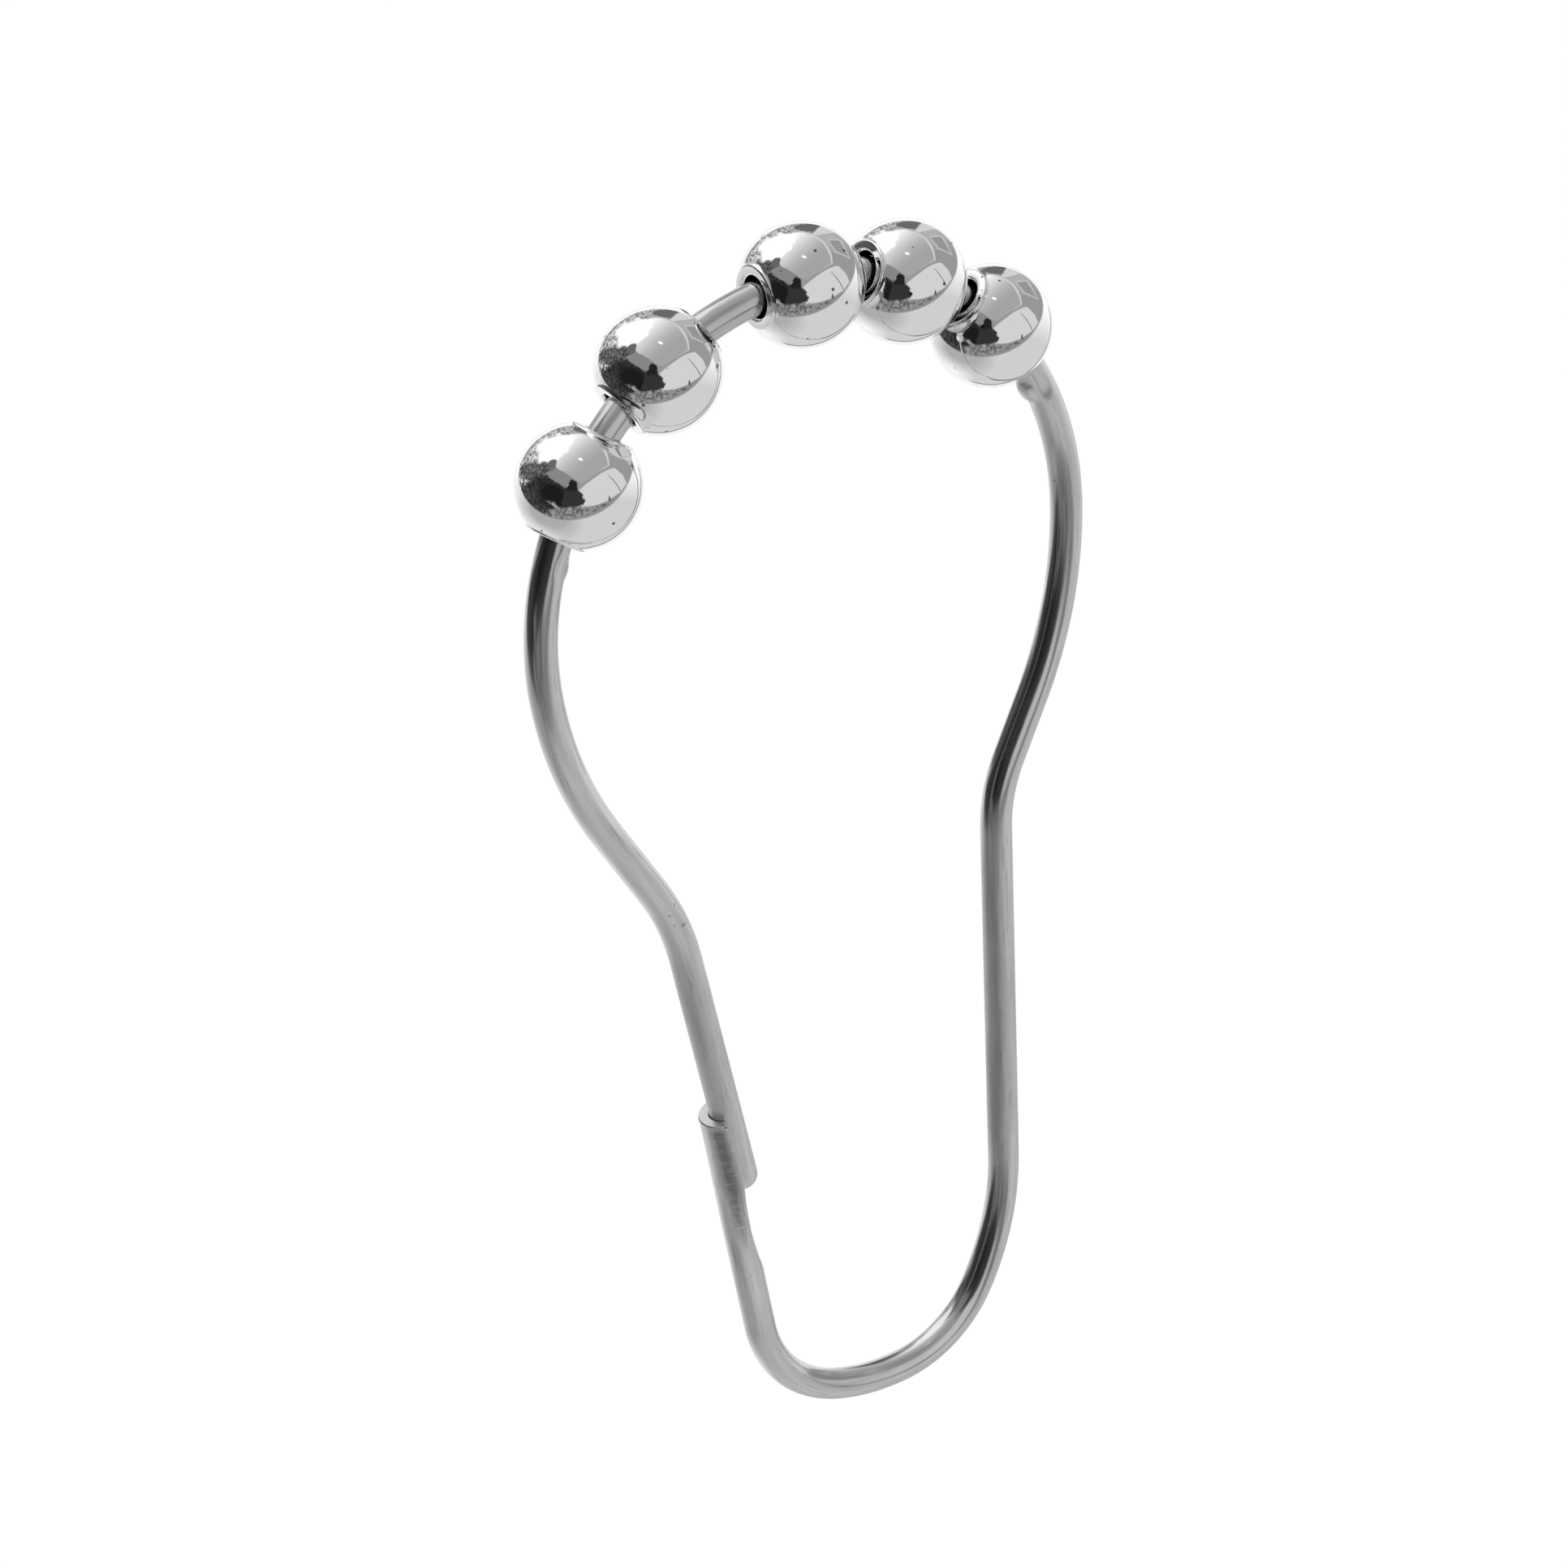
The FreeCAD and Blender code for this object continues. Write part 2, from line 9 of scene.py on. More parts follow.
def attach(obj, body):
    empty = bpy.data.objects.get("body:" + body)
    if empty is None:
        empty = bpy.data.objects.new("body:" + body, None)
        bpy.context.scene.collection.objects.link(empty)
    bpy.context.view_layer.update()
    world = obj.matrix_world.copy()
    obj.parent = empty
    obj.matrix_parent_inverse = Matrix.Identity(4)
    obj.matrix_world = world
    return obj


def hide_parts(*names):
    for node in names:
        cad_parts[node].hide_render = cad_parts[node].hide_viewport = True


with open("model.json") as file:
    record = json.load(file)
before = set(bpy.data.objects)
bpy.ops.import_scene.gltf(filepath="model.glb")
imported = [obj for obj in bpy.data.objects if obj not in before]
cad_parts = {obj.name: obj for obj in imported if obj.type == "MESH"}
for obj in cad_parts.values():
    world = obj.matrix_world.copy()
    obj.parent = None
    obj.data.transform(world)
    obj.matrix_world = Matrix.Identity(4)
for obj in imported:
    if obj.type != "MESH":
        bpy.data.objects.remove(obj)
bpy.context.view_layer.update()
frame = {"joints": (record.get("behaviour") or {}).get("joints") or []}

scene = bpy.context.scene
MM = 0.001

# Spring wire: one length of 2 mm hard steel wire, bent to the loop in the XZ plane and then
# chrome-plated. It is followed from the crown of the top arc, down the free side to its round
# tip and down the closed side to the clasp. Sizes are in millimetres and degrees.
WIRE_RADIUS = 1.0
TOP_RADIUS = 18.7
FREE_TOP_TURN = 94.4
FREE_SHOULDER = 24.4
FREE_NECK_LEAN = 27.85
FREE_NECK_LENGTH = 5.53
FREE_KNEE = 16.6
FREE_LEG_LENGTH = 16.25
FREE_LEG_LEAN = 7.6
CLOSED_TOP_TURN = 93.2
CLOSED_SHOULDER = 26.8
CLOSED_NECK_LEAN = 30.42
CLOSED_NECK_LENGTH = 3.95
CLOSED_KNEE = 10.4
CLOSED_LEG_LEAN = 3.6
FOOT_DROP = 56.76
FOOT_ENTRY = 18.2
FOOT_ENTRY_LEAN = 33.0
FOOT_CORNER = 7.8
FOOT_FLOOR_TURN = 111.0
FOOT_RISE = 8.2
CLASP_LEG_LEAN = 5.5
SEAT_OFFSET = 1.02
FADE_LENGTH = 4.2
STEP = 0.3


def along(heading):
    return np.array([math.cos(math.radians(heading)), math.sin(math.radians(heading))])


def bend_move(heading, radius, turn):
    """How far a bend carries the wire; a positive turn is anticlockwise."""
    side = math.copysign(radius, turn)
    start, end = along(heading), along(heading + turn)
    return side * np.array([end[1] - start[1], start[0] - end[0]])


def follow(moves):
    """Centre points, headings and lengths along a chain of bends and straights."""
    place, heading, length = np.array([0.0, TOP_RADIUS]), moves[0], 0.0
    points, headings, lengths = [place], [heading], [0.0]
    for radius, turn in moves[1:]:
        reach = math.radians(abs(turn)) * radius if turn else radius
        count = max(2, math.ceil(reach / STEP))
        for share in np.linspace(0, 1, count + 1)[1:]:
            if turn:
                points.append(place + bend_move(heading, radius, turn * share))
                headings.append(heading + turn * share)
            else:
                points.append(place + along(heading) * radius * share)
                headings.append(heading)
            lengths.append(length + reach * share)
        place, heading, length = points[-1], headings[-1], lengths[-1]
    return np.array(points), np.array(headings), np.array(lengths)


# A bend is (radius, turn) and a straight is (length, 0); the first entry is the heading.
free_moves = [
    180.0,
    (TOP_RADIUS, FREE_TOP_TURN),
    (FREE_SHOULDER, FREE_NECK_LEAN + 90 - FREE_TOP_TURN),
    (FREE_NECK_LENGTH, 0),
    (FREE_KNEE, FREE_LEG_LEAN - FREE_NECK_LEAN),
    (FREE_LEG_LENGTH, 0),
]
closed_moves = [
    0.0,
    (TOP_RADIUS, -CLOSED_TOP_TURN),
    (CLOSED_SHOULDER, CLOSED_TOP_TURN - 90 - CLOSED_NECK_LEAN),
    (CLOSED_NECK_LENGTH, 0),
    (CLOSED_KNEE, CLOSED_NECK_LEAN - CLOSED_LEG_LEAN),
]

free_points, free_headings, free_lengths = follow(free_moves)
tip = free_points[-1]
nest_up = along(90 + FREE_LEG_LEAN)
nest_right = along(FREE_LEG_LEAN)
fade = tip - SEAT_OFFSET * nest_right - FADE_LENGTH * along(90 + CLASP_LEG_LEAN)

# The closed leg reaches down until the foot's lowest point is at its depth.
lead_points, _, lead_lengths = follow(closed_moves)
leg_start, leg_from = lead_points[-1], lead_lengths[-1]
leg_heading = -90 - CLOSED_LEG_LEAN
entry_turn = CLOSED_LEG_LEAN - FOOT_ENTRY_LEAN
corner_turn = FOOT_ENTRY_LEAN - 90
entry = bend_move(leg_heading, FOOT_ENTRY, entry_turn)
corner = bend_move(leg_heading + entry_turn, FOOT_CORNER, corner_turn)
leg_length = (-FOOT_DROP - leg_start[1] - entry[1] - corner[1]) / along(leg_heading)[1]
lowest = leg_start + leg_length * along(leg_heading) + entry + corner

# The floor's radius and the stem's length bring the wire to where the gutter begins.
floor_turn = 90 - FOOT_FLOOR_TURN
rise_turn = FOOT_FLOOR_TURN - 180 + CLASP_LEG_LEAN
rise = bend_move(-180 + floor_turn, FOOT_RISE, rise_turn)
stem_heading = -180 + floor_turn + rise_turn
to_solve = np.column_stack([bend_move(-180, 1.0, floor_turn), along(stem_heading)])
floor_radius, stem_length = np.linalg.solve(to_solve, fade - lowest - rise)
closed_moves += [
    (leg_length, 0),
    (FOOT_ENTRY, entry_turn),
    (FOOT_CORNER, corner_turn),
    (floor_radius, floor_turn),
    (FOOT_RISE, rise_turn),
    (stem_length, 0),
]
closed_points, closed_headings, closed_lengths = follow(closed_moves)
clasp_length = closed_lengths[-1]

# Clasp: the wire's end is stamped to a gutter that holds the free leg. Its outer circle
# grows from the wire to the mouth, the groove follows the leg and runs out below its tip,
# and the two lips are sheared flat. Stations are measured up the nest from the leg's tip.
NEST_DEPTH = 4.9
GUTTER_TWIST = 20.0
MOUTH_RADIUS = 1.72
MOUTH_EASE = 0.45
WAIST_RADIUS = 1.5
WAIST_SHIFT = -0.44
WAIST_EASE = 0.55
GROOVE_RADIUS = 1.04
GROOVE_LEAST, GROOVE_MOST = 0.42, 0.97
RUNOUT_RADIUS = 24.0
RUNOUT_REACH = 7.4
LIP_AT_MOUTH = -0.33
LIP_AT_TIP = -0.2
LIP_LENGTH = 6.4
DENT = ((0.0, LIP_AT_TIP), (-4.0, -0.42), (-8.5, 0.05))
NO_LIP, NO_GROOVE = 2.0, 3.0
END_BEVEL = 0.07
INNER, OUTER = 25, 47
LIP_COLUMNS = 4
CORNER_ANGLE = 57.0
CLASP_LOW = -RUNOUT_REACH - 1.3
EVEN_LENGTH = 1.4


def circle_through(first, second, third):
    """Centre and radius of the circle through three points."""
    first, second, third = map(np.array, (first, second, third))
    rows = np.array([second - first, third - first]) * 2
    sums = [second @ second - first @ first, third @ third - first @ first]
    centre = np.linalg.solve(rows, sums)
    return centre, math.dist(centre, first)


dent_centre, dent_radius = circle_through(*DENT)
fade_in_nest = np.array([(fade - tip) @ nest_right, (fade - tip) @ nest_up])


def lip_at(height):
    """How far the sheared face stands towards the opening, by height in the nest."""
    if height >= 0:
        return LIP_AT_TIP + (LIP_AT_MOUTH - LIP_AT_TIP) * height / LIP_LENGTH
    if height < DENT[2][0]:
        return NO_LIP
    across = math.sqrt(dent_radius**2 - (height - dent_centre[0])**2)
    return dent_centre[1] - math.copysign(across, dent_centre[1])


def groove_at(height):
    """How far the groove's centre has left the nest towards the opening."""
    if height >= 0:
        return 0.0
    if height < -RUNOUT_REACH:
        return NO_GROOVE
    return RUNOUT_RADIUS - math.sqrt(RUNOUT_RADIUS**2 - height**2)


def outer_circle(height):
    """Centre and radius of the outer form between the fade, the waist and the mouth."""
    low, low_shift = fade_in_nest[1], fade_in_nest[0]
    if height <= low:
        slope = math.tan(math.radians(FREE_LEG_LEAN - CLASP_LEG_LEAN))
        return low_shift - (low - height) * slope, WIRE_RADIUS
    if height < 0:
        share = 1 - height / low
        smooth = share * share * (3 - 2 * share)
        eased = smooth * WAIST_EASE + share * (1 - WAIST_EASE)
        return (low_shift + (WAIST_SHIFT - low_shift) * eased,
                WIRE_RADIUS + (WAIST_RADIUS - WIRE_RADIUS) * eased)
    share = height / NEST_DEPTH
    eased = share * (1 + MOUTH_EASE - MOUTH_EASE * share)
    return WAIST_SHIFT * (1 - eased), WAIST_RADIUS + (MOUTH_RADIUS - WAIST_RADIUS) * eased


def section_points(height):
    """The wire's section in the clasp, as (towards the opening, across) pairs."""
    shift, radius = outer_circle(height)
    middle = shift * along(GUTTER_TWIST)
    lip, groove = lip_at(height), groove_at(height)
    cut = math.degrees(math.acos(max(-1.0, min(1.0, (lip - middle[0]) / radius))))
    corner_angle = max(cut, CORNER_ANGLE)
    reach = radius * math.sin(math.radians(corner_angle))
    open_half = math.sqrt(max(0.0, GROOVE_RADIUS**2 - min(groove - lip, GROOVE_RADIUS)**2))
    open_half = min(max(open_half, GROOVE_LEAST * reach), GROOVE_MOST * reach)
    swing = math.degrees(math.asin(min(1.0, open_half / GROOVE_RADIUS)))
    inside = [-along(a)[1] * open_half / along(swing)[1]
              for a in np.linspace(swing, -swing, INNER - 2 * LIP_COLUMNS)]
    low_side = list(np.linspace(-reach + middle[1], inside[0], LIP_COLUMNS + 1))[:-1]
    high_side = list(np.linspace(inside[-1], reach + middle[1], LIP_COLUMNS + 1))[1:]

    # The columns are spread evenly on the round wire and move to the lips as these form.
    even_angles = np.linspace(-corner_angle, corner_angle, INNER)
    even = middle[1] + radius * np.sin(np.radians(even_angles))
    formed = np.clip((height - CLASP_LOW) / EVEN_LENGTH, 0, 1)
    points = []
    for across in even + (np.array(low_side + inside + high_side) - even) * formed:
        on_circle = middle[0] + math.sqrt(max(0.0, radius**2 - (across - middle[1])**2))
        in_groove = groove - math.sqrt(max(0.0, GROOVE_RADIUS**2 - across**2))
        limit = min(lip, on_circle)
        if abs(across) < GROOVE_RADIUS:
            limit = min(limit, in_groove)
        points.append((limit, across))
    if cut >= CORNER_ANGLE:
        points[0], points[-1] = (lip, points[0][1]), (lip, points[-1][1])
    for angle in np.linspace(corner_angle, 360 - corner_angle, OUTER + 2)[1:-1]:
        points.append(tuple(middle + radius * along(angle)))
    return np.array(points)


# Stops: beyond each outermost ball the wire is pinched in a tool, which raises a small
# ridge on its inner side and leaves a shallow pit in front and behind. Each row gives the
# side of the crown, the way past the ball, the ridge's shift inwards and half its length.
STOPS = ((-1, 1.6, 0.18, 1.6), (1, 2.1, 0.33, 1.3))
STOP_HEIGHT = 1.02
STOP_WIDTH = 0.85
PIT_LENGTH = 0.95
PIT_WIDTH = 0.5
PIT_DEPTH = 0.07
PIT_INWARD = 0.2
PIT_EDGE = 0.75
BALL_LENGTH = 6.56

joints = {joint["child"]: joint for joint in frame["joints"]}
ball_names = sorted(joints)
stops = []
for side, past, shift, half_length in STOPS:
    place = joints[ball_names[0] if side < 0 else ball_names[-1]]["pos_m"]
    ring = math.hypot(place[0], place[2]) / MM
    angle = math.atan2(place[0], place[2])
    angle += side * (math.atan(BALL_LENGTH / 2 / ring) + past / ring)
    stops.append((angle * TOP_RADIUS, shift, half_length))


def pinched(arc_length, angles):
    """Radii of the ring at a place on the top arc; angle 0 points out of the loop."""
    radii = np.full(len(angles), WIRE_RADIUS)
    inward, across = -np.cos(angles), np.sin(angles)
    for middle, shift, half_length in stops:
        off = (arc_length - middle) / half_length
        if abs(off) >= 1:
            continue
        shrink = math.sqrt(1 - off * off)
        height, width = STOP_HEIGHT * shrink, STOP_WIDTH * shrink
        a = (inward / height)**2 + (across / width)**2
        b = -2 * inward * shift / height**2
        c = (shift / height)**2 - 1
        inside = b * b - 4 * a * c
        far = np.where(inside > 0, (-b + np.sqrt(np.maximum(inside, 0))) / (2 * a), 0)
        radii = np.maximum(radii, far)
        pit = 1 - ((arc_length - middle) / PIT_LENGTH)**2 - ((inward - PIT_INWARD) / PIT_WIDTH)**2
        radii -= PIT_DEPTH * np.clip(pit, 0, 1)**PIT_EDGE
    return radii


def ring_frame(heading):
    """Directions of a section in space: towards the opening, across, and outwards."""
    out = np.array([-along(heading)[1], 0, along(heading)[0]])
    depth = np.array([0.0, 1.0, 0.0])
    cosine, sine = along(GUTTER_TWIST)
    return -cosine * out - sine * depth, -sine * out + cosine * depth, out


def put(points, centre, heading):
    """A section's flat points, set square to the wire at a centre in the XZ plane."""
    to_opening, across, _ = ring_frame(heading)
    base = np.array([centre[0], 0, centre[1]])
    return base + points[:, :1] * to_opening + points[:, 1:] * across


ring_angles = np.concatenate([
    np.linspace(-CORNER_ANGLE, CORNER_ANGLE, INNER),
    np.linspace(CORNER_ANGLE, 360 - CORNER_ANGLE, OUTER + 2)[1:-1],
])
round_ring = np.array([along(a) for a in ring_angles])
ring_size = len(round_ring)
rings, lays = [], []


def add_ring(points, length):
    """One ring of the wire, with its place round and along the wire for the metal's look."""
    rings.append(points)
    lays.append(np.column_stack([round_ring, np.full(ring_size, length)]))


# The round tip of the free leg is closed with rings that shrink to its end.
TIP_RINGS = 14
TIP_FIRST = 0.06
down = np.array([-nest_up[0], 0, -nest_up[1]])
for share in np.linspace(TIP_FIRST, 1, TIP_RINGS)[:-1]:
    swing = math.radians(90 * share)
    dome = put(round_ring * WIRE_RADIUS * math.sin(swing), tip, 90 + FREE_LEG_LEAN)
    add_ring(dome + down * WIRE_RADIUS * math.cos(swing), -free_lengths[-1])

# The free run is taken from its tip back to the crown, the closed run onwards from there.
top_end = TOP_RADIUS * math.radians(CLOSED_TOP_TURN)
run = [(point, heading - 180, -length) for point, heading, length in
       zip(free_points[:0:-1], free_headings[:0:-1], free_lengths[:0:-1])]
run += list(zip(closed_points, closed_headings, closed_lengths))
for centre, heading, length in run:
    if length > top_end and (centre - tip) @ nest_up > CLASP_LOW and centre[0] < 0:
        continue
    to_opening, across, out = ring_frame(heading)
    directions = np.array([c * to_opening + s * across for c, s in round_ring])
    if abs(length) < top_end:
        angles = np.arctan2(directions[:, 1], directions @ out)
        radii = pinched(length, angles)[:, None]
    else:
        radii = WIRE_RADIUS
    add_ring(np.array([centre[0], 0, centre[1]]) + directions * radii, length)

# Through the clasp the sections turn from the stem's heading to the nest's.
CLASP_STEP = 0.16
end_height = NEST_DEPTH - END_BEVEL
for height in list(np.arange(CLASP_LOW, end_height, CLASP_STEP)) + [end_height]:
    share = np.clip(1 - height / fade_in_nest[1], 0, 1)
    tilt = stem_heading + (90 + FREE_LEG_LEAN - 360 - stem_heading) * share
    shift = outer_circle(height)[0]
    pivot = tip + height * nest_up + shift * nest_right
    add_ring(put(section_points(height) - shift * along(GUTTER_TWIST), pivot, tilt),
             clasp_length + height - fade_in_nest[1])


def inset(points, distance):
    """A closed outline moved inwards by a distance."""
    forward = np.roll(points, -1, 0) - np.roll(points, 1, 0)
    forward /= np.linalg.norm(forward, axis=1)[:, None]
    return points + distance * np.column_stack([-forward[:, 1], forward[:, 0]])


mouth = inset(section_points(end_height), END_BEVEL)
add_ring(put(mouth, tip + NEST_DEPTH * nest_up, 90 + FREE_LEG_LEAN - 360),
         clasp_length + NEST_DEPTH - fade_in_nest[1])


def new_piece(name, points, faces, sharp_angle):
    """A mesh object from points in millimetres, smooth except at sharp edges."""
    mesh = bpy.data.meshes.new(name)
    mesh.from_pydata([tuple(p) for p in np.array(points) * MM], [], faces)
    mesh.update()
    mesh.shade_smooth()
    mesh.set_sharp_from_angle(angle=math.radians(sharp_angle))
    piece = bpy.data.objects.new(name, mesh)
    scene.collection.objects.link(piece)
    return piece


WIRE_SHARP_ANGLE = 40
pole_point = (tip[0] + down[0] * WIRE_RADIUS, 0, tip[1] + down[2] * WIRE_RADIUS)
wire_points = np.concatenate(rings + [[pole_point]])
pole = len(wire_points) - 1
wire_faces = []
for row in range(len(rings) - 1):
    for column in range(ring_size):
        here = row * ring_size + column
        beside = row * ring_size + (column + 1) % ring_size
        wire_faces.append((here, beside, beside + ring_size, here + ring_size))
wire_faces += [((column + 1) % ring_size, column, pole) for column in range(ring_size)]
wire_faces.append(tuple(range((len(rings) - 1) * ring_size, len(rings) * ring_size)))
wire = new_piece("spring_wire", wire_points, wire_faces, WIRE_SHARP_ANGLE)
lay = wire.data.attributes.new("lay", "FLOAT_VECTOR", "POINT")
lay.data.foreach_set("vector", np.concatenate(lays + [[(0, 0, lays[0][0][2])]]).ravel())
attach(wire, "hook")
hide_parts("wire_hook")


def add_node(tree, kind, **settings):
    """A shader node; a setting names a property, or an input by its name."""
    made = tree.nodes.new(kind)
    for key, value in settings.items():
        if hasattr(made, key):
            setattr(made, key, value)
            continue
        socket = made.inputs[key.replace("_", " ")]
        if isinstance(value, bpy.types.NodeSocket):
            tree.links.new(value, socket)
        else:
            socket.default_value = value
    return made


def new_metal(name):
    """A bare metal material, its tree and its shader."""
    material = bpy.data.materials.new(name)
    material.use_nodes = True
    shader = material.node_tree.nodes["Principled BSDF"]
    shader.inputs["Metallic"].default_value = 1.0
    return material, material.node_tree, shader


# Plated wire: it was drawn through a die, so fine lines and thin scratches run along its
# chrome, and its colour is a little cloudy. The straight legs are duller than the bends.
# Greys go from 0 for black to 1 for white, and a noise is given by its scales round and
# along the wire, its detail and its roughness.
DIE_LINES = ((7, 0.045), 3.0, 0.6)
CLOUDS = ((1.7, 0.13), 4.0, 0.6)
CLOUD_SPREAD = (0.32, 0.68)
CLOUD_GREYS = (0.54, 0.73)
SCRATCHES = ((9, 0.33), 2.0, 0.5)
SCRATCH_SPREAD = (0.63, 0.70)
SCRATCH_SHADE = 0.70
GLOSS_SPREAD = (0.3, 0.7)
GLOSS_ROUGHNESS = (0.13, 0.24)
DULL_ROUGHNESS = 0.42
DULL_FADE = 2.0
STAMPED_ROUGHNESS = 0.34
LINE_STRENGTH = 0.25
LINE_HEIGHT = 0.00001

wire_metal, tree, shader = new_metal("wire_chrome")


def math_node(operation, *values, clamp=False):
    """A Math node of the current tree, with its sockets linked or set."""
    node = tree.nodes.new("ShaderNodeMath")
    node.operation = operation
    node.use_clamp = clamp
    for socket, value in zip(node.inputs, values):
        if isinstance(value, bpy.types.NodeSocket):
            tree.links.new(value, socket)
        else:
            socket.default_value = value
    return node.outputs[0]


def vector_node(operation, first, second=None):
    """A Vector Math node of the current tree; its second vector is a fixed one."""
    node = add_node(tree, "ShaderNodeVectorMath", operation=operation)
    tree.links.new(first, node.inputs[0])
    if second is not None:
        node.inputs[1].default_value = second
    return node.outputs


def ramp(value, low, high, at_low=0.0, at_high=1.0):
    """The value spread from one range to another, kept inside it."""
    return add_node(tree, "ShaderNodeMapRange", Value=value, From_Min=low, From_Max=high,
                    To_Min=at_low, To_Max=at_high).outputs[0]


def blended(under, over, share):
    """A grey that goes from one value to another by a share."""
    return math_node("MULTIPLY_ADD", share, math_node("SUBTRACT", over, under), under)


def lay_noise(scales, detail, roughness):
    """Noise that is stretched along the wire."""
    place = add_node(tree, "ShaderNodeMapping", vector_type="POINT", Vector=lay_read,
                     Scale=(scales[0], scales[0], scales[1])).outputs[0]
    return add_node(tree, "ShaderNodeTexNoise", Vector=place, Scale=1.0, Detail=detail,
                    Roughness=roughness).outputs["Fac"]


lay_read = add_node(tree, "ShaderNodeAttribute", attribute_name="lay").outputs["Vector"]
round_cosine, round_sine, length_read = add_node(
    tree, "ShaderNodeSeparateXYZ", Vector=lay_read).outputs
lines = lay_noise(*DIE_LINES)
grey = ramp(lay_noise(*CLOUDS), *CLOUD_SPREAD, *CLOUD_GREYS)
scratched = ramp(lay_noise(*SCRATCHES), *SCRATCH_SPREAD, 1.0, SCRATCH_SHADE)
grey = math_node("MULTIPLY", grey, scratched)

# The bending tool has left two small groups of flecks on the front of the neck.
SCUFF_PLACES = (-17.3, -18.3)
SCUFF_REACH = (0.0010, 0.0003)
SCUFF_LIFT = 0.17
FLECK_SCALE = 2400.0
FLECK_DETAIL = 3.0
FLECK_SPREAD = (0.74, 0.80)
FLECK_SHADE = 0.6
where = add_node(tree, "ShaderNodeTexCoord").outputs["Object"]
flecks = add_node(tree, "ShaderNodeTexNoise", Vector=where, Scale=FLECK_SCALE,
                  Detail=FLECK_DETAIL).outputs["Fac"]
for depth in SCUFF_PLACES:
    scuff = free_points[np.argmin(abs(free_points[:, 1] - depth))]
    front = (scuff[0] * MM, -WIRE_RADIUS * MM, scuff[1] * MM)
    near = ramp(vector_node("DISTANCE", where, front)["Value"], *SCUFF_REACH, 0.0, SCUFF_LIFT)
    fleck = ramp(math_node("ADD", flecks, near), *FLECK_SPREAD, 1.0, FLECK_SHADE)
    grey = math_node("MULTIPLY", grey, fleck)

# The stamp's flattened track narrows from the mouth to the stem and has light scratches across
# it; its dark grey is a painted reflection of dark surroundings in the flat face.
TRACK_REFLECTION_GREY = 0.27
TRACK_ANGLE = -90.0
TRACK_HALF = 26.0
TRACK_AT_TIP = 23.0
TRACK_TAPER = 4.2
TRACK_TOP = (4.9, 4.4)
TRACK_FOOT = (-4.7, -3.5)
TRACK_EDGE = (14.0, -16.0)
TRACK_RAGGED = 26.0
RAGGED_EDGE = ((5, 1.4), 4.0, 0.7)
CROSS_SCRATCHES = ((1.2, 4.0), 3.0, 0.6)
CROSS_SPREAD = (0.50, 0.70)
CROSS_SHADE = 0.5
clasp_height = math_node("SUBTRACT", length_read, clasp_length - fade_in_nest[1])
turn = math_node("ARCTAN2", round_sine, round_cosine)
off = math_node("ABSOLUTE", math_node("SUBTRACT", turn, math.radians(TRACK_ANGLE)))
ragged = math_node("MULTIPLY_ADD", lay_noise(*RAGGED_EDGE), math.radians(TRACK_RAGGED),
                   -math.radians(TRACK_RAGGED / 2))
track_half = math_node("MULTIPLY_ADD", clasp_height, math.radians(TRACK_TAPER),
                       math.radians(TRACK_AT_TIP))
track_half = math_node("MINIMUM", track_half, math.radians(TRACK_HALF))
past_edge = math_node("SUBTRACT", math_node("ADD", off, ragged), track_half)
track_and_reflection = ramp(past_edge, *[math.radians(angle) for angle in TRACK_EDGE])
track_and_reflection = math_node("MULTIPLY", track_and_reflection, ramp(clasp_height, *TRACK_TOP))
track_and_reflection = math_node("MULTIPLY", track_and_reflection, ramp(clasp_height, *TRACK_FOOT))
crossed = ramp(lay_noise(*CROSS_SCRATCHES), *CROSS_SPREAD, 1.0, CROSS_SHADE)
# Painted reflection: the track darkens the wire's colour.
grey = blended(grey, TRACK_REFLECTION_GREY, math_node("MULTIPLY", track_and_reflection, crossed))

# Inside the groove the metal is darkened by painted shade, and the sheared lips and end are made
# bright by a painted highlight.
GROOVE_SHADE_GREY = 0.10
SHEARED_HIGHLIGHT_GREY = 0.95
CLASP_FADE = (-0.2, 0.4)
GROOVE_ANGLES = (43.0, 38.0)
LIP_ANGLES = (CORNER_ANGLE + 1, CORNER_ANGLE - 2)
on_clasp = ramp(clasp_height, *CLASP_FADE)
in_groove, on_lip = [
    ramp(round_cosine, *[math.cos(math.radians(angle)) for angle in angles])
    for angles in (GROOVE_ANGLES, LIP_ANGLES)
]
on_end = ramp(clasp_height, end_height, NEST_DEPTH - END_BEVEL / 2)
# Painted highlight on the sheared lips.
grey = blended(grey, SHEARED_HIGHLIGHT_GREY, math_node("MULTIPLY", on_lip, on_clasp))
# Painted shade inside the groove.
grey = blended(grey, GROOVE_SHADE_GREY, math_node("MULTIPLY", in_groove, on_clasp))
# Painted highlight on the clasp's end face.
grey = blended(grey, SHEARED_HIGHLIGHT_GREY, on_end)
tree.links.new(grey, shader.inputs["Base Color"])

gloss = ramp(lines, *GLOSS_SPREAD, *GLOSS_ROUGHNESS)
closed_leg = (leg_from, leg_from + leg_length)
free_leg = (-free_lengths[-1], FREE_LEG_LENGTH - free_lengths[-1])
for low, high in (closed_leg, free_leg):
    straight = math_node("MULTIPLY",
                         ramp(length_read, low - DULL_FADE, low + DULL_FADE),
                         ramp(length_read, high + DULL_FADE, high - DULL_FADE))
    gloss = blended(gloss, DULL_ROUGHNESS, straight)
gloss = blended(gloss, STAMPED_ROUGHNESS, math_node("MAXIMUM", on_end, track_and_reflection))
tree.links.new(gloss, shader.inputs["Roughness"])
drawn = add_node(tree, "ShaderNodeBump", Strength=LINE_STRENGTH, Distance=LINE_HEIGHT,
                 Height=lines)
tree.links.new(drawn.outputs[0], shader.inputs["Normal"])
wire.data.materials.append(wire_metal)

